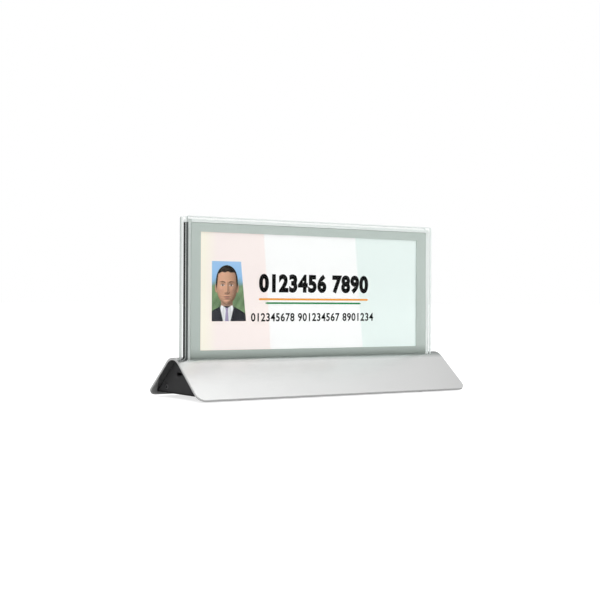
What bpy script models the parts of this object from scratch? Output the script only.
"""A double-sided electronic nameplate: a clear-edged display panel in a roof-shaped aluminium base.

Metres. X runs along the base, from the left end to the right end as seen from the front. The front
faces -Y, and +Z is up. The origin is on the table, under the middle of the base.
"""

import math

import bmesh
import bpy

# Clearance between pieces that touch or pass through each other
CLEARANCE = 0.0003

# Base shell: bent aluminium sheet with a roof section and a rounded ridge
BASE_HEIGHT = 0.0343
BASE_OVERHANG = 0.0098
RIDGE_FLAT = 0.0006
SLOPE_DEGREES = 39.2
SKIN = 0.002
TABLE_GAP = 0.001
BEND_RADIUS = 0.0165
BEND_STEPS = 8
EDGE_FILLET = 0.0008
CORNER_RADIUS = 0.007
ARC_STEPS = 5

# Display panel
PANEL_SUNK = 0.0108
SHEET = 0.0044
SHEET_CORNER = 0.0015
SHEET_CHAMFER = 0.0004
BEZEL_THICKNESS = 0.0006
DISPLAY_THICKNESS = 0.0013
ACTIVE_WIDTH = 0.228
ACTIVE_HEIGHT = 0.098
BORDER_LEFT = 0.009
BORDER_RIGHT = 0.011
BORDER_TOP = 0.0073
BORDER_BOTTOM = 0.0125
SIDE_RIM = 0.0047
TOP_RIM = 0.0052
RAIL_TOP_RECESS = 0.0024
RAIL_SIDE_RECESS = 0.0008
RAIL_FOOT = 0.0035
STRIP_WIDTH = 0.0032
STRIP_DEPTH = 0.001

# End caps and what is fitted in them
CAP_THICKNESS = 0.003
PORT_BELOW_PANEL = 0.003
PORT_WIDTH = 0.0089
PORT_HEIGHT = 0.0032
PORT_DEPTH = 0.0073
PORT_WALL = 0.0004
TONGUE_WIDTH = 0.0064
TONGUE_HEIGHT = 0.0007
TONGUE_LENGTH = 0.0045
BUTTON_BELOW_PANEL = 0.0055
BUTTON_RADIUS = 0.0039
BUTTON_FLANGE = 0.0009
BUTTON_FLANGE_THICKNESS = 0.001
BUTTON_PROUD = 0.0008
BUTTON_STEM_RADIUS = 0.0015
BUTTON_STEM = 0.004
BUTTON_TRAVEL = 0.0006
SWITCH_SIDE = 0.006
SWITCH_DEPTH = 0.0035
CARRIER_WALL = 0.0015
CARRIER_POST = 0.003

# Underside
FOOT_RADIUS = 0.006
FOOT_HEIGHT = 0.0037
FOOT_FILLET = 0.0008
FOOT_FROM_END = 0.0445
FOOT_FROM_EDGE = 0.016
COVER_THICKNESS = 0.0016

# Screws and the channels and posts that take them
SCREW_RADIUS = 0.0015
SCREW_HEAD_RADIUS = 0.0027
SCREW_HEAD_HEIGHT = 0.0016
SCREW_LENGTH = 0.008
SMALL_SCREW_RADIUS = 0.001
SMALL_SCREW_HEAD_RADIUS = 0.0019
SMALL_SCREW_HEAD_HEIGHT = 0.0012
SMALL_SCREW_LENGTH = 0.0032
SOCKET_SHARE = 0.5
CHANNEL_RADIUS = 0.003
CHANNEL_RIB = 0.0016
COVER_SCREW_FROM_END = 0.0335
POST_RADIUS = 0.0025
POST_HEIGHT = 0.0026

# Cradle that holds the panel's foot, and the rubber seals above it
CRADLE_FROM_PANEL_END = 0.0287
CRADLE_WALL = 0.0018
CRADLE_FLOOR = 0.0017
CRADLE_GRIP = 0.0035
LEG_FROM_END = 0.025
LEG_LENGTH = 0.012
LEG_DEPTH = 0.012
SEAL_DEPTH = 0.0012

# Electronics
RIBBON_FROM_END = 0.031
RIBBON_WIDTH = 0.03
RIBBON_THICKNESS = 0.0003
RIBBON_DROP = 0.0018
RIBBON_REACH = 0.006
LEG_GAP = 0.003
CHANNEL_GAP = 0.001
BOARD_LENGTH = 0.068
BOARD_DEPTH = 0.037
BOARD_THICKNESS = 0.0012
BOARD_SCREW_INSET = 0.004
RADIO_INSET = 0.0024
CONNECTOR_DEPTH = 0.004
CONNECTOR_HEIGHT = 0.0018
SHIELD_SIZE = (0.012, 0.014, 0.002)
RADIO_SIZE = (0.01, 0.014, 0.0024)
PLUG_SIZE = (0.004, 0.006, 0.003)
LEAD_WIDTH = 0.004
LEAD_THICKNESS = 0.0012
BATTERY_GAP = 0.006
BATTERY_HEIGHT = 0.009
PAD_THICKNESS = 0.001
USB_BOARD_LENGTH = 0.0237
BUTTON_BOARD_WIDTH = 0.029
BUTTON_BOARD_HEIGHT = 0.01
CABLE_WIDTH = 0.004
CABLE_THICKNESS = 0.0008
CABLE_GAP = 0.0005

# How far a cutter reaches past what it cuts, and a joined shape into what it joins
CUT_MARGIN = 0.002
JOIN_DEPTH = 0.0008
CIRCLE_STEPS = 24
SCREW_STEPS = 12

# Slope of the base's two long faces, and the height of their outer lower corner before its fillet
SLOPE = math.radians(SLOPE_DEGREES)
COS_SLOPE = math.cos(SLOPE)
SIN_SLOPE = math.sin(SLOPE)
TAN_SLOPE = math.tan(SLOPE)
OUTER_CORNER_Z = TABLE_GAP + SKIN * COS_SLOPE

# Width between the sloping faces at the ridge's height, if they ran on without the bends
RIDGE_WIDTH = RIDGE_FLAT + 2 * BEND_RADIUS * math.tan(SLOPE / 2)

# Panel layers, measured from the panel's middle plane
DISPLAY_BACK = CLEARANCE
DISPLAY_FACE = DISPLAY_BACK + DISPLAY_THICKNESS
BEZEL_BACK = DISPLAY_FACE + CLEARANCE
BEZEL_FACE = BEZEL_BACK + BEZEL_THICKNESS
SHEET_BACK = BEZEL_FACE + CLEARANCE
PANEL_FACE = SHEET_BACK + SHEET

# Panel outlines: the picture area, the border and the clear rim round it, and the foot in the base
BEZEL_HALF_WIDTH = (ACTIVE_WIDTH + BORDER_LEFT + BORDER_RIGHT) / 2
PANEL_WIDTH = 2 * (BEZEL_HALF_WIDTH + SIDE_RIM)
PANEL_FOOT = BASE_HEIGHT - PANEL_SUNK
RAIL_OPENING_FOOT = PANEL_FOOT + RAIL_FOOT
LAYER_FOOT = RAIL_OPENING_FOOT + CLEARANCE
WINDOW_LEFT = -BEZEL_HALF_WIDTH + BORDER_LEFT
WINDOW_FOOT = LAYER_FOOT + BORDER_BOTTOM
WINDOW_TOP = WINDOW_FOOT + ACTIVE_HEIGHT
BEZEL_TOP = WINDOW_TOP + BORDER_TOP
PANEL_TOP = BEZEL_TOP + TOP_RIM
RAIL_HALF_WIDTH = PANEL_WIDTH / 2 - RAIL_SIDE_RECESS
RAIL_TOP = PANEL_TOP - RAIL_TOP_RECESS

# Heights in the base
COVER_BOTTOM = FOOT_HEIGHT + CLEARANCE
COVER_TOP = COVER_BOTTOM + COVER_THICKNESS
CHANNEL_Z = COVER_TOP + CLEARANCE + CHANNEL_RADIUS
POST_TOP = COVER_TOP + POST_HEIGHT
BOARD_BOTTOM = POST_TOP + CLEARANCE
BOARD_TOP = BOARD_BOTTOM + BOARD_THICKNESS
CRADLE_FLOOR_TOP = PANEL_FOOT - CLEARANCE
CRADLE_BOTTOM = CRADLE_FLOOR_TOP - CRADLE_FLOOR
CRADLE_WALL_TOP = PANEL_FOOT + CRADLE_GRIP
PORT_Z = PANEL_FOOT - PORT_BELOW_PANEL
BUTTON_Z = PANEL_FOOT - BUTTON_BELOW_PANEL

# Places along and across the base
BASE_LENGTH = PANEL_WIDTH + 2 * BASE_OVERHANG
CAP_INNER_X = PANEL_WIDTH / 2 + CLEARANCE
CAP_OUTER_X = CAP_INNER_X + CAP_THICKNESS
CAP_SEAT_X = CAP_OUTER_X - SCREW_HEAD_HEIGHT - CLEARANCE
INSIDE_X = CAP_INNER_X - CLEARANCE
COVER_SCREW_X = BASE_LENGTH / 2 - COVER_SCREW_FROM_END
CRADLE_LENGTH = PANEL_WIDTH - 2 * CRADLE_FROM_PANEL_END
CRADLE_SCREW_X = CRADLE_LENGTH / 2 - LEG_FROM_END
BATTERY_RIGHT = CRADLE_SCREW_X - LEG_LENGTH / 2 - LEG_GAP
BOARD_LEFT = -BATTERY_RIGHT
BOARD_RIGHT = BOARD_LEFT + BOARD_LENGTH
BATTERY_LEFT = BOARD_RIGHT + BATTERY_GAP
RIBBON_X = BOARD_LEFT + RIBBON_FROM_END
CHANNEL_Y = BOARD_DEPTH / 2 + CHANNEL_GAP + CHANNEL_RADIUS
BOARD_SCREW_Y = BOARD_DEPTH / 2 - BOARD_SCREW_INSET
CABLE_REAR = BOARD_SCREW_Y - SMALL_SCREW_HEAD_RADIUS - CABLE_GAP
CABLE_FRONT = CABLE_REAR - CABLE_WIDTH
PLUG_Y = CABLE_FRONT - CABLE_GAP - PLUG_SIZE[1] / 2
BATTERY_BOTTOM = COVER_TOP + PAD_THICKNESS + 2 * CLEARANCE

COLOURS = {
    "satin_aluminium": ((0.80, 0.81, 0.81), 1.0, 0.38),
    "dark_plastic": ((0.06, 0.06, 0.065), 0.0, 0.45),
    "black_rubber": ((0.02, 0.02, 0.02), 0.0, 0.85),
    "clear_acrylic": ((0.90, 0.97, 0.94), 0.0, 0.02),
    "grey_border": ((0.50, 0.54, 0.53), 0.0, 0.4),
    "dark_display": ((0.05, 0.06, 0.06), 0.0, 0.25),
    "white_frame": ((0.85, 0.87, 0.86), 0.0, 0.4),
    "steel": ((0.55, 0.55, 0.56), 1.0, 0.3),
    "dark_steel": ((0.08, 0.08, 0.085), 0.8, 0.4),
    "circuit_board": ((0.02, 0.16, 0.07), 0.0, 0.5),
    "connector_plastic": ((0.75, 0.72, 0.62), 0.0, 0.5),
    "cable_film": ((0.65, 0.36, 0.12), 0.0, 0.4),
    "battery_wrap": ((0.10, 0.22, 0.42), 0.0, 0.4),
    "foam": ((0.12, 0.12, 0.12), 0.0, 0.95),
    "button_plastic": ((0.35, 0.36, 0.37), 0.0, 0.4),
}


def clear_scene():
    for item in list(bpy.data.objects):
        bpy.data.objects.remove(item, do_unlink=True)


def make_materials():
    for name, (colour, metallic, roughness) in COLOURS.items():
        material = bpy.data.materials.new(name)
        material.use_nodes = True
        shader = material.node_tree.nodes["Principled BSDF"]
        shader.inputs["Base Color"].default_value = (*colour, 1.0)
        shader.inputs["Metallic"].default_value = metallic
        shader.inputs["Roughness"].default_value = roughness


# Outlines: lists of points in a plane


def arc(centre, radius, start, end, steps=ARC_STEPS):
    """Points on a circle from one angle to another, in degrees, both ends included."""
    angles = [math.radians(start + (end - start) * step / steps) for step in range(steps + 1)]
    return [(centre[0] + radius * math.cos(a), centre[1] + radius * math.sin(a)) for a in angles]


def circle(centre, radius, steps=CIRCLE_STEPS):
    return arc(centre, radius, 0, 360, steps)[:-1]


def rectangle(left, right, low, high):
    return [(left, low), (right, low), (right, high), (left, high)]


def rounded_rectangle(left, right, low, high, radius, steps=3):
    points = []
    for x, z, inward_x, inward_z, start in (
        (right, high, -1, -1, 0),
        (left, high, 1, -1, 90),
        (left, low, 1, 1, 180),
        (right, low, -1, 1, 270),
    ):
        centre = (x + inward_x * radius, z + inward_z * radius)
        points += arc(centre, radius, start, start + 90, steps)
    return points


def slot_outline(centre, width, height, grow=0.0):
    """A rectangle with half-round ends, longer along its first coordinate."""
    radius = height / 2 + grow
    reach = (width - height) / 2
    right = arc((centre[0] + reach, centre[1]), radius, -90, 90)
    left = arc((centre[0] - reach, centre[1]), radius, 90, 270)
    return right + left


def face_half_width(height, inset):
    """Half the section's width at a height, on the surface this far inside the sloping outer face."""
    return RIDGE_WIDTH / 2 + (BASE_HEIGHT - height) / TAN_SLOPE - inset / SIN_SLOPE


def face_height(half_width, inset):
    """The height of that same surface at a distance from the middle plane."""
    return BASE_HEIGHT - (half_width - RIDGE_WIDTH / 2 + inset / SIN_SLOPE) * TAN_SLOPE


def left_bend(inset):
    """The rounded corner between the left sloping face and the top, for the surface this far inside."""
    radius = BEND_RADIUS - inset
    top = BASE_HEIGHT - inset
    centre_y = -face_half_width(top, inset) + radius * math.tan(SLOPE / 2)
    return arc((centre_y, top - radius), radius, 90 + SLOPE_DEGREES, 90, BEND_STEPS)


def mirrored(points):
    """The same outline on the other side, in reverse order."""
    return [(-y, z) for y, z in reversed(points)]


def roof_outline(inset, low):
    """The filled section inside the surface at this inset, cut off level at a height."""
    left = [(-face_half_width(low, inset), low)] + left_bend(inset)
    return left + mirrored(left)


def lower_edge():
    """The skin's lower edge on the left: its inner corner, then the outer corner's fillet."""
    outer_y = -face_half_width(OUTER_CORNER_Z, 0)
    inner = (outer_y + SKIN * SIN_SLOPE, TABLE_GAP)
    centre_y = outer_y + EDGE_FILLET * (COS_SLOPE + SIN_SLOPE)
    centre_z = OUTER_CORNER_Z + EDGE_FILLET * (SIN_SLOPE - COS_SLOPE)
    down_slope = SLOPE_DEGREES + 180
    return [inner] + arc((centre_y, centre_z), EDGE_FILLET, down_slope, down_slope - 90, 3)


def shell_outline():
    left_outer = lower_edge() + left_bend(0)
    left_inner = left_bend(SKIN)
    return left_outer + mirrored(left_outer) + [(-y, z) for y, z in left_inner] + left_inner[::-1]


def channel_outline(side):
    """A round screw channel hanging from the inside of the sloping face on a rib."""
    half_rib = CHANNEL_RIB / 2
    gap = math.degrees(math.asin(half_rib / CHANNEL_RADIUS))
    centre = (side * CHANNEL_Y, CHANNEL_Z)
    points = arc(centre, CHANNEL_RADIUS, 90 - gap, -270 + gap, CIRCLE_STEPS)
    for rib_side in (-1, 1):
        y = centre[0] + rib_side * half_rib
        points.append((y, face_height(abs(y), SKIN) + JOIN_DEPTH))
    return points


# Shapes: pairs of points and faces, each a closed body


def in_space(axis, first, second, along):
    """A point from two coordinates of the plane across an axis and one along it."""
    return {
        "x": (along, first, second),
        "y": (first, along, second),
        "z": (first, second, along),
    }[axis]


def loft(loops):
    """Skins a stack of loops that have equal numbers of points, and closes both ends."""
    count = len(loops[0])
    points = [point for loop in loops for point in loop]
    faces = [tuple(range(count)), tuple(range(len(points) - count, len(points)))]
    for level in range(len(loops) - 1):
        base = level * count
        for i in range(count):
            j = (i + 1) % count
            faces.append((base + i, base + j, base + count + j, base + count + i))
    return points, faces


def prism(outline, low, high, axis="x"):
    return loft([[in_space(axis, u, v, level) for u, v in outline] for level in (low, high)])


def box(x, y, z):
    """A block from three pairs of low and high values."""
    return prism(rectangle(*y, *z), x[0], x[1], "x")


def ring(outer, inner, low, high, axis="y"):
    """A flat ring between two outlines that have equal numbers of points."""
    count = len(outer)
    loops = [(outer, low), (outer, high), (inner, high), (inner, low)]
    points = [in_space(axis, u, v, level) for outline, level in loops for u, v in outline]
    faces = []
    for k in range(4):
        for i in range(count):
            j = (i + 1) % count
            here = k * count
            there = (k + 1) % 4 * count
            faces.append((here + i, here + j, there + j, there + i))
    return points, faces


def chamfered_sheet(face, back, side):
    """A clear sheet with polished edges: face and back are distances from the middle plane."""
    loops = []
    for depth, inset in (
        (face, SHEET_CHAMFER),
        (face - SHEET_CHAMFER, 0),
        (back + SHEET_CHAMFER, 0),
        (back, SHEET_CHAMFER),
    ):
        half = PANEL_WIDTH / 2 - inset
        low, high = PANEL_FOOT + inset, PANEL_TOP - inset
        outline = rounded_rectangle(-half, half, low, high, SHEET_CORNER - inset)
        loops.append([in_space("y", u, v, side * depth) for u, v in outline])
    return loft(loops)


def turned(profile, steps=CIRCLE_STEPS):
    """A solid of revolution about Z from pairs of radius and height."""
    loops = []
    for radius, height in profile:
        loops.append([(*point, height) for point in circle((0, 0), radius, steps)])
    return loft(loops)


def screw(radius, head_radius, head_height, length):
    """A pan-head screw with a hexagon socket. The head sits on z = 0 and the shank runs down."""
    socket = head_radius * SOCKET_SHARE
    rings = [
        (radius, -length, False),
        (radius, 0, False),
        (head_radius, 0, False),
        (head_radius, head_height * 0.6, False),
        (head_radius * 0.85, head_height, False),
        (socket, head_height, True),
        (socket, head_height * 0.35, True),
    ]
    loops = []
    for size, height, hexagonal in rings:
        # Every second point of a hexagon's loop is the middle of one of its sides.
        flat = math.cos(math.pi / 6) if hexagonal else 1
        corners = circle((0, 0), size, SCREW_STEPS)
        middles = circle((0, 0), size * flat, SCREW_STEPS)
        loop = [middles[k] if k % 2 else corners[k] for k in range(SCREW_STEPS)]
        loops.append([(x, y, height) for x, y in loop])
    return loft(loops)


def ribbon(path, thickness, low, high, axis="y"):
    """A flat cable: a path in the plane across an axis, thickened upwards."""
    upper = [(u, v + thickness) for u, v in reversed(path)]
    return prism(path + upper, low, high, axis)


def corner_waste(end, side):
    """What is cut away to round one lower corner of a sloping face, drawn in that face's own plane."""
    edge_x = BASE_LENGTH / 2
    outline = [(edge_x + CUT_MARGIN, CORNER_RADIUS), (edge_x + CUT_MARGIN, -CUT_MARGIN)]
    outline += [(edge_x - CORNER_RADIUS, -CUT_MARGIN)]
    outline += arc((edge_x - CORNER_RADIUS, CORNER_RADIUS), CORNER_RADIUS, -90, 0)
    corner_y = face_half_width(OUTER_CORNER_Z, 0)
    loops = []
    for depth in (-SKIN - CUT_MARGIN, CUT_MARGIN):
        loop = []
        for x, up in outline:
            y = corner_y - up * COS_SLOPE + depth * SIN_SLOPE
            z = OUTER_CORNER_Z + up * SIN_SLOPE + depth * COS_SLOPE
            loop.append((end * x, side * y, z))
        loops.append(loop)
    return loft(loops)


# Objects


def add_object(name, shapes, material, location=(0, 0, 0), rotation=(0, 0, 0)):
    """One object from shapes, with its faces turned outwards and its round parts shaded smooth."""
    mesh = bpy.data.meshes.new(name)
    work = bmesh.new()
    for points, faces in shapes:
        corners = [work.verts.new(point) for point in points]
        for face in faces:
            work.faces.new([corners[i] for i in face])
    bmesh.ops.recalc_face_normals(work, faces=work.faces)
    work.to_mesh(mesh)
    work.free()
    mesh.shade_smooth()
    mesh.set_sharp_from_angle(angle=math.radians(35))
    if material:
        mesh.materials.append(bpy.data.materials[material])
    item = bpy.data.objects.new(name, mesh)
    item.location = location
    item.rotation_euler = rotation
    bpy.context.scene.collection.objects.link(item)
    return item


def change(item, operation, shapes):
    """Cuts shapes out of an object, or joins them to it."""
    for number, shape in enumerate(shapes):
        tool = add_object(f"{item.name}_{operation.lower()}_{number}", [shape], None)
        tool.hide_render = True
        tool.display_type = "WIRE"
        modifier = item.modifiers.new(operation.title(), "BOOLEAN")
        modifier.operation = operation
        modifier.solver = "EXACT"
        modifier.object = tool


def join(item, shapes):
    change(item, "UNION", shapes)


def cut(item, shapes):
    change(item, "DIFFERENCE", shapes)


LEFT_RIGHT = (("left", -1), ("right", 1))
FRONT_REAR = (("front", -1), ("rear", 1))


def make_base_shell():
    shell = add_object(
        "base_shell",
        [prism(shell_outline(), -BASE_LENGTH / 2, BASE_LENGTH / 2)],
        "satin_aluminium",
    )
    join(shell, [prism(channel_outline(side), -INSIDE_X, INSIDE_X) for side in (-1, 1)])
    slot_y = PANEL_FACE + CLEARANCE
    slot_x = PANEL_WIDTH / 2 + CLEARANCE
    slot_low = face_height(slot_y, SKIN) - CUT_MARGIN
    waste = [box((-slot_x, slot_x), (-slot_y, slot_y), (slot_low, BASE_HEIGHT + CUT_MARGIN))]
    hole = SCREW_RADIUS + CLEARANCE
    for end in (-1, 1):
        for side in (-1, 1):
            waste.append(corner_waste(end, side))
            deep = INSIDE_X - SCREW_LENGTH
            centre = (side * CHANNEL_Y, CHANNEL_Z)
            waste.append(prism(circle(centre, hole), end * deep, end * (INSIDE_X + CUT_MARGIN)))
            below = (end * COVER_SCREW_X, side * CHANNEL_Y)
            waste.append(prism(circle(below, hole), COVER_TOP, CHANNEL_Z + SCREW_RADIUS, "z"))
    cut(shell, waste)


def make_end_caps():
    outline = roof_outline(SKIN + CLEARANCE, COVER_BOTTOM)
    low, high = CAP_INNER_X - CUT_MARGIN, CAP_OUTER_X + CUT_MARGIN
    for label, end in LEFT_RIGHT:
        plate = prism(outline, end * CAP_INNER_X, end * CAP_OUTER_X)
        cap = add_object(f"end_cap_{label}", [plate], "dark_plastic")
        if end < 0:
            join(cap, [usb_shelf()])
            opening = slot_outline((0, PORT_Z), PORT_WIDTH, PORT_HEIGHT, CLEARANCE)
        else:
            join(cap, button_posts())
            opening = circle((0, BUTTON_Z), BUTTON_RADIUS + CLEARANCE)
        waste = [prism(opening, end * low, end * high)]
        for side in (-1, 1):
            centre = (side * CHANNEL_Y, CHANNEL_Z)
            waste.append(prism(circle(centre, SCREW_RADIUS + CLEARANCE), end * low, end * high))
            sunk = circle(centre, SCREW_HEAD_RADIUS + CLEARANCE)
            waste.append(prism(sunk, end * CAP_SEAT_X, end * high))
        cut(cap, waste)


def usb_board_top():
    return PORT_Z - PORT_HEIGHT / 2 - CLEARANCE


def usb_board_span():
    """The board's reach along X and Y."""
    return (-INSIDE_X, -INSIDE_X + USB_BOARD_LENGTH), (-BOARD_DEPTH / 2, CABLE_REAR + CABLE_GAP)


def usb_shelf():
    """The left cap's ledge under the port's board."""
    (_, board_end), (board_front, board_rear) = usb_board_span()
    top = usb_board_top() - BOARD_THICKNESS - CLEARANCE
    inset = CARRIER_WALL * 2
    return box(
        (-CAP_INNER_X - JOIN_DEPTH, board_end - inset),
        (board_front + inset, board_rear - inset),
        (top - CARRIER_WALL, top),
    )


def button_flange_x():
    """The inner side of the button's flange, which rests one clearance behind the right cap."""
    return CAP_INNER_X - CLEARANCE - BUTTON_FLANGE_THICKNESS


def switch_face_x():
    """The switch waits behind the button's stem, one clearance past its full travel."""
    return button_flange_x() - BUTTON_STEM - BUTTON_TRAVEL - CLEARANCE


def button_board_face_x():
    return switch_face_x() - SWITCH_DEPTH - CLEARANCE


def button_posts():
    """The right cap's two posts that the button's board stands against."""
    posts = []
    for side in (-1, 1):
        middle = side * (BUTTON_BOARD_WIDTH / 2 - CARRIER_POST)
        posts.append(
            box(
                (button_board_face_x() + CLEARANCE, CAP_INNER_X + JOIN_DEPTH),
                (middle - CARRIER_POST / 2, middle + CARRIER_POST / 2),
                (BUTTON_Z - CARRIER_POST / 2, BUTTON_Z + CARRIER_POST / 2),
            )
        )
    return posts


def make_underside():
    low, high = (face_half_width(z, SKIN + CLEARANCE) for z in (COVER_BOTTOM, COVER_TOP))
    outline = [(-low, COVER_BOTTOM), (low, COVER_BOTTOM), (high, COVER_TOP), (-high, COVER_TOP)]
    cover = add_object("bottom_cover", [prism(outline, -INSIDE_X, INSIDE_X)], "dark_plastic")
    posts = board_screw_places()
    span = (COVER_TOP - JOIN_DEPTH, POST_TOP)
    join(cover, [prism(circle(place, POST_RADIUS), *span, "z") for place in posts])
    hole = SCREW_RADIUS + CLEARANCE
    small_hole = SMALL_SCREW_RADIUS + CLEARANCE
    span = (COVER_BOTTOM - CUT_MARGIN, COVER_TOP + CUT_MARGIN)
    waste = [prism(circle((end * CRADLE_SCREW_X, 0), hole), *span, "z") for end in (-1, 1)]
    for end in (-1, 1):
        for side in (-1, 1):
            waste.append(prism(circle((end * COVER_SCREW_X, side * CHANNEL_Y), hole), *span, "z"))
    small_low = BOARD_TOP - SMALL_SCREW_LENGTH
    waste += [prism(circle(place, small_hole), small_low, POST_TOP + CUT_MARGIN, "z") for place in posts]
    cut(cover, waste)

    foot_x = BASE_LENGTH / 2 - FOOT_FROM_END
    foot_y = face_half_width(OUTER_CORNER_Z, 0) - FOOT_FROM_EDGE
    profile = [(FOOT_RADIUS - FOOT_FILLET, 0)]
    profile += [(FOOT_RADIUS, FOOT_FILLET), (FOOT_RADIUS, FOOT_HEIGHT)]
    for depth_label, side in FRONT_REAR:
        for label, end in LEFT_RIGHT:
            place = (end * foot_x, side * foot_y, 0)
            add_object(f"foot_{depth_label}_{label}", [turned(profile)], "black_rubber", place)


def make_cradle():
    inner = PANEL_FACE + CLEARANCE
    outer = inner + CRADLE_WALL
    outline = [(outer, CRADLE_BOTTOM), (outer, CRADLE_WALL_TOP)]
    outline += [(inner, CRADLE_WALL_TOP), (inner, CRADLE_FLOOR_TOP)]
    outline += mirrored(outline)
    half = CRADLE_LENGTH / 2
    cradle = add_object("panel_cradle", [prism(outline, -half, half)], "satin_aluminium")
    legs = []
    waste = [ribbon_window(CRADLE_BOTTOM, CRADLE_FLOOR_TOP)]
    hole = SCREW_RADIUS + CLEARANCE
    for end in (-1, 1):
        x = end * CRADLE_SCREW_X
        span = (x - LEG_LENGTH / 2, x + LEG_LENGTH / 2)
        height = (COVER_TOP + CLEARANCE, CRADLE_BOTTOM + JOIN_DEPTH)
        legs.append(box(span, (-LEG_DEPTH / 2, LEG_DEPTH / 2), height))
        hole_top = COVER_BOTTOM + SCREW_LENGTH + CLEARANCE
        waste.append(prism(circle((x, 0), hole), COVER_TOP, hole_top, "z"))
    join(cradle, legs)
    cut(cradle, waste)

    low = CRADLE_WALL_TOP + CLEARANCE
    high = face_height(inner + SEAL_DEPTH, SKIN + CLEARANCE)
    for label, side in FRONT_REAR:
        depth = sorted((side * inner, side * (inner + SEAL_DEPTH)))
        seal = box((-PANEL_WIDTH / 2, PANEL_WIDTH / 2), depth, (low, high))
        add_object(f"slot_seal_{label}", [seal], "black_rubber")


def ribbon_window(low, high):
    """The opening that both displays' cables pass through."""
    reach = RIBBON_WIDTH / 2 + CUT_MARGIN
    return box(
        (RIBBON_X - reach, RIBBON_X + reach),
        (-RIBBON_DROP, RIBBON_DROP),
        (low - CUT_MARGIN, high + CUT_MARGIN),
    )


def make_panel():
    half = BEZEL_HALF_WIDTH
    border = rectangle(-half, half, LAYER_FOOT, BEZEL_TOP)
    window = rectangle(WINDOW_LEFT, WINDOW_LEFT + ACTIVE_WIDTH, WINDOW_FOOT, WINDOW_TOP)
    for label, side in FRONT_REAR:
        sheet = chamfered_sheet(PANEL_FACE, SHEET_BACK, side)
        add_object(f"{label}_acrylic", [sheet], "clear_acrylic")
        # The rear border is the front one turned round, so its wide side is on the other end.
        turned_round = [(-side * x, z) for x, z in window]
        if side > 0:
            turned_round = [turned_round[i] for i in (1, 0, 3, 2)]
        bezel = ring(border, turned_round, side * BEZEL_FACE, side * BEZEL_BACK)
        add_object(f"{label}_bezel", [bezel], "grey_border")
        depths = sorted((side * DISPLAY_BACK, side * DISPLAY_FACE))
        display = box((-half, half), depths, (LAYER_FOOT, BEZEL_TOP))
        add_object(f"{label}_display", [display], "dark_display")

    depth = BEZEL_FACE
    opening = half + CLEARANCE
    outer = rounded_rectangle(-RAIL_HALF_WIDTH, RAIL_HALF_WIDTH, PANEL_FOOT, RAIL_TOP, SHEET_CORNER)
    inner = rounded_rectangle(-opening, opening, RAIL_OPENING_FOOT, BEZEL_TOP + CLEARANCE, CLEARANCE)
    frame = add_object("mid_frame", [ring(outer, inner, -depth, depth)], "white_frame")
    groove_y = STRIP_WIDTH / 2 + CLEARANCE
    groove_x = (RAIL_HALF_WIDTH - STRIP_DEPTH - CLEARANCE, RAIL_HALF_WIDTH + CUT_MARGIN)
    strip_z = (RAIL_OPENING_FOOT, BEZEL_TOP)
    waste = [ribbon_window(PANEL_FOOT, RAIL_OPENING_FOOT)]
    for label, end in LEFT_RIGHT:
        span = sorted(end * x for x in groove_x)
        waste.append(box(span, (-groove_y, groove_y), (strip_z[0] - CLEARANCE, strip_z[1] + CLEARANCE)))
        span = sorted((end * (RAIL_HALF_WIDTH - STRIP_DEPTH), end * RAIL_HALF_WIDTH))
        strip = box(span, (-STRIP_WIDTH / 2, STRIP_WIDTH / 2), strip_z)
        add_object(f"edge_strip_{label}", [strip], "black_rubber")
    cut(frame, waste)


def board_screw_places():
    x = (BOARD_LEFT + BOARD_SCREW_INSET, BOARD_RIGHT - BOARD_SCREW_INSET)
    y = BOARD_SCREW_Y
    return [(x[0], -y), (x[0], y), (x[1], -y), (x[1], y)]


def make_screws():
    shape = screw(SCREW_RADIUS, SCREW_HEAD_RADIUS, SCREW_HEAD_HEIGHT, SCREW_LENGTH)
    small = screw(
        SMALL_SCREW_RADIUS,
        SMALL_SCREW_HEAD_RADIUS,
        SMALL_SCREW_HEAD_HEIGHT,
        SMALL_SCREW_LENGTH,
    )
    sideways = math.pi / 2
    for label, end in LEFT_RIGHT:
        for depth_label, side in FRONT_REAR:
            place = (end * (CAP_SEAT_X + CLEARANCE), side * CHANNEL_Y, CHANNEL_Z)
            name = f"cap_screw_{label}_{depth_label}"
            add_object(name, [shape], "dark_steel", place, (0, end * sideways, 0))
            place = (end * COVER_SCREW_X, side * CHANNEL_Y, COVER_BOTTOM - CLEARANCE)
            name = f"cover_screw_{label}_{depth_label}"
            add_object(name, [cover_screw()], "dark_steel", place, (math.pi, 0, 0))
        place = (end * CRADLE_SCREW_X, 0, COVER_BOTTOM - CLEARANCE)
        add_object(f"cradle_screw_{label}", [shape], "dark_steel", place, (math.pi, 0, 0))
    names = ("front_left", "rear_left", "front_right", "rear_right")
    for name, (x, y) in zip(names, board_screw_places()):
        place = (x, y, BOARD_TOP + CLEARANCE)
        add_object(f"board_screw_{name}", [small], "steel", place)


def cover_screw():
    """It ends inside the screw channel, one clearance short of its hole."""
    length = CHANNEL_Z + SCREW_RADIUS - COVER_BOTTOM
    return screw(SCREW_RADIUS, SCREW_HEAD_RADIUS, SCREW_HEAD_HEIGHT, length)


def board_block(size, left, front):
    """A component that stands on the main board."""
    low = BOARD_TOP + CLEARANCE
    return box((left, left + size[0]), (front, front + size[1]), (low, low + size[2]))


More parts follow.
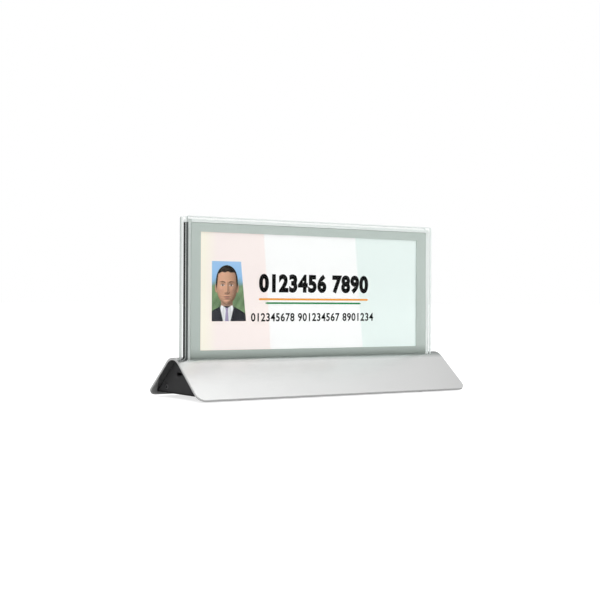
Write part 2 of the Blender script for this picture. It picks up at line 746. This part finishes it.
def make_main_board():
    half = BOARD_DEPTH / 2
    plate = box((BOARD_LEFT, BOARD_RIGHT), (-half, half), (BOARD_BOTTOM, BOARD_TOP))
    board = add_object("main_board", [plate], "circuit_board")
    hole = SMALL_SCREW_RADIUS + CLEARANCE
    span = (BOARD_BOTTOM - CUT_MARGIN, BOARD_TOP + CUT_MARGIN)
    cut(board, [prism(circle(place, hole), *span, "z") for place in board_screw_places()])

    cable_low = BOARD_TOP + CLEARANCE + CONNECTOR_HEIGHT / 2
    half = RIBBON_WIDTH / 2
    for label, side in FRONT_REAR:
        middle = side * (DISPLAY_BACK + DISPLAY_FACE) / 2
        near = middle - side * RIBBON_THICKNESS / 2
        far = middle + side * RIBBON_THICKNESS / 2
        end = side * RIBBON_REACH
        top = LAYER_FOOT - CLEARANCE
        bend = cable_low + RIBBON_THICKNESS
        outline = [(near, top), (near, cable_low), (end, cable_low)]
        outline += [(end, bend), (far, bend), (far, top)]
        cable = prism(outline, RIBBON_X - half, RIBBON_X + half)
        add_object(f"{label}_ribbon", [cable], "cable_film")
        size = (RIBBON_WIDTH, CONNECTOR_DEPTH, CONNECTOR_HEIGHT)
        front = min(end + side * CLEARANCE, end + side * (CLEARANCE + CONNECTOR_DEPTH))
        add_object(
            f"display_connector_{label}",
            [board_block(size, RIBBON_X - half, front)],
            "connector_plastic",
        )

    shield_left = RIBBON_X + half + CUT_MARGIN
    shield = board_block(SHIELD_SIZE, shield_left, -SHIELD_SIZE[1] / 2 - CUT_MARGIN)
    add_object("processor_shield", [shield], "steel")
    radio = board_block(RADIO_SIZE, BOARD_LEFT + RADIO_INSET, -RADIO_SIZE[1] / 2)
    add_object("radio_module", [radio], "steel")
    plug = board_block(PLUG_SIZE, BOARD_RIGHT - PLUG_SIZE[0] - CLEARANCE, PLUG_Y - PLUG_SIZE[1] / 2)
    add_object("battery_connector", [plug], "connector_plastic")


def make_battery():
    x = (BATTERY_LEFT, BATTERY_RIGHT)
    y = (-BOARD_DEPTH / 2, BOARD_DEPTH / 2)
    pad_low = COVER_TOP + CLEARANCE
    add_object("battery_pad", [box(x, y, (pad_low, pad_low + PAD_THICKNESS))], "foam")
    pack = box(x, y, (BATTERY_BOTTOM, BATTERY_BOTTOM + BATTERY_HEIGHT))
    add_object("battery_pack", [pack], "battery_wrap")
    lead_y = (PLUG_Y - LEAD_WIDTH / 2, PLUG_Y + LEAD_WIDTH / 2)
    low = BOARD_TOP + 2 * CLEARANCE
    lead = box((BOARD_RIGHT, BATTERY_LEFT - CLEARANCE), lead_y, (low, low + LEAD_THICKNESS))
    add_object("battery_lead", [lead], "black_rubber")


def make_usb():
    board_x, board_y = usb_board_span()
    top = usb_board_top()
    board = box(board_x, board_y, (top - BOARD_THICKNESS, top))
    add_object("usb_board", [board], "circuit_board")

    mouth = -CAP_OUTER_X + CLEARANCE
    back = mouth + PORT_DEPTH
    outline = slot_outline((0, PORT_Z), PORT_WIDTH, PORT_HEIGHT)
    port = add_object("usb_c_port", [prism(outline, mouth, back)], "steel")
    hollow = slot_outline((0, PORT_Z), PORT_WIDTH, PORT_HEIGHT, -PORT_WALL)
    cut(port, [prism(hollow, mouth - CUT_MARGIN, back - PORT_WALL)])
    tongue = box(
        (back - PORT_WALL - TONGUE_LENGTH, back - PORT_WALL / 2),
        (-TONGUE_WIDTH / 2, TONGUE_WIDTH / 2),
        (PORT_Z - TONGUE_HEIGHT / 2, PORT_Z + TONGUE_HEIGHT / 2),
    )
    join(port, [tongue])

    high = top + CLEARANCE
    low = BOARD_TOP + CLEARANCE
    start = board_x[1] - CUT_MARGIN
    path = [(start, high), (board_x[1] + CUT_MARGIN, high)]
    path += [(BOARD_LEFT - CABLE_WIDTH * 2, low), (BOARD_LEFT + CUT_MARGIN, low)]
    add_object("usb_cable", [ribbon(path, CABLE_THICKNESS, CABLE_FRONT, CABLE_REAR)], "cable_film")


def make_button():
    board_x = button_board_face_x()
    half = BUTTON_BOARD_WIDTH / 2
    board_z = (BUTTON_Z - BUTTON_BOARD_HEIGHT / 2, BUTTON_Z + BUTTON_BOARD_HEIGHT / 2)
    board = box((board_x - BOARD_THICKNESS, board_x), (-half, half), board_z)
    add_object("button_board", [board], "circuit_board")
    side = SWITCH_SIDE / 2
    switch_z = (BUTTON_Z - side, BUTTON_Z + side)
    switch = box((board_x + CLEARANCE, switch_face_x()), (-side, side), switch_z)
    add_object("button_switch", [switch], "dark_steel")

    head = CAP_OUTER_X + BUTTON_PROUD - button_flange_x()
    edge = BUTTON_FLANGE / 2
    profile = [
        (BUTTON_STEM_RADIUS, -BUTTON_STEM),
        (BUTTON_STEM_RADIUS, 0),
        (BUTTON_RADIUS + BUTTON_FLANGE, 0),
        (BUTTON_RADIUS + BUTTON_FLANGE, BUTTON_FLANGE_THICKNESS),
        (BUTTON_RADIUS, BUTTON_FLANGE_THICKNESS),
        (BUTTON_RADIUS, head - edge),
        (BUTTON_RADIUS - edge, head),
    ]
    place = (button_flange_x(), 0, BUTTON_Z)
    turn = (0, math.pi / 2, 0)
    add_object("power_button", [turned(profile)], "button_plastic", place, turn)

    high = BATTERY_BOTTOM + BATTERY_HEIGHT + CLEARANCE
    low = BOARD_TOP + CLEARANCE
    path = [(BOARD_RIGHT - CABLE_WIDTH, low), (BOARD_RIGHT, low)]
    path += [(BATTERY_LEFT - CABLE_THICKNESS * 2, high), (board_x - BOARD_THICKNESS - CLEARANCE, high)]
    add_object("button_cable", [ribbon(path, CABLE_THICKNESS, CABLE_FRONT, CABLE_REAR)], "cable_film")


def main():
    clear_scene()
    make_materials()
    make_base_shell()
    make_end_caps()
    make_underside()
    make_cradle()
    make_panel()
    make_screws()
    make_main_board()
    make_battery()
    make_usb()
    make_button()


main()
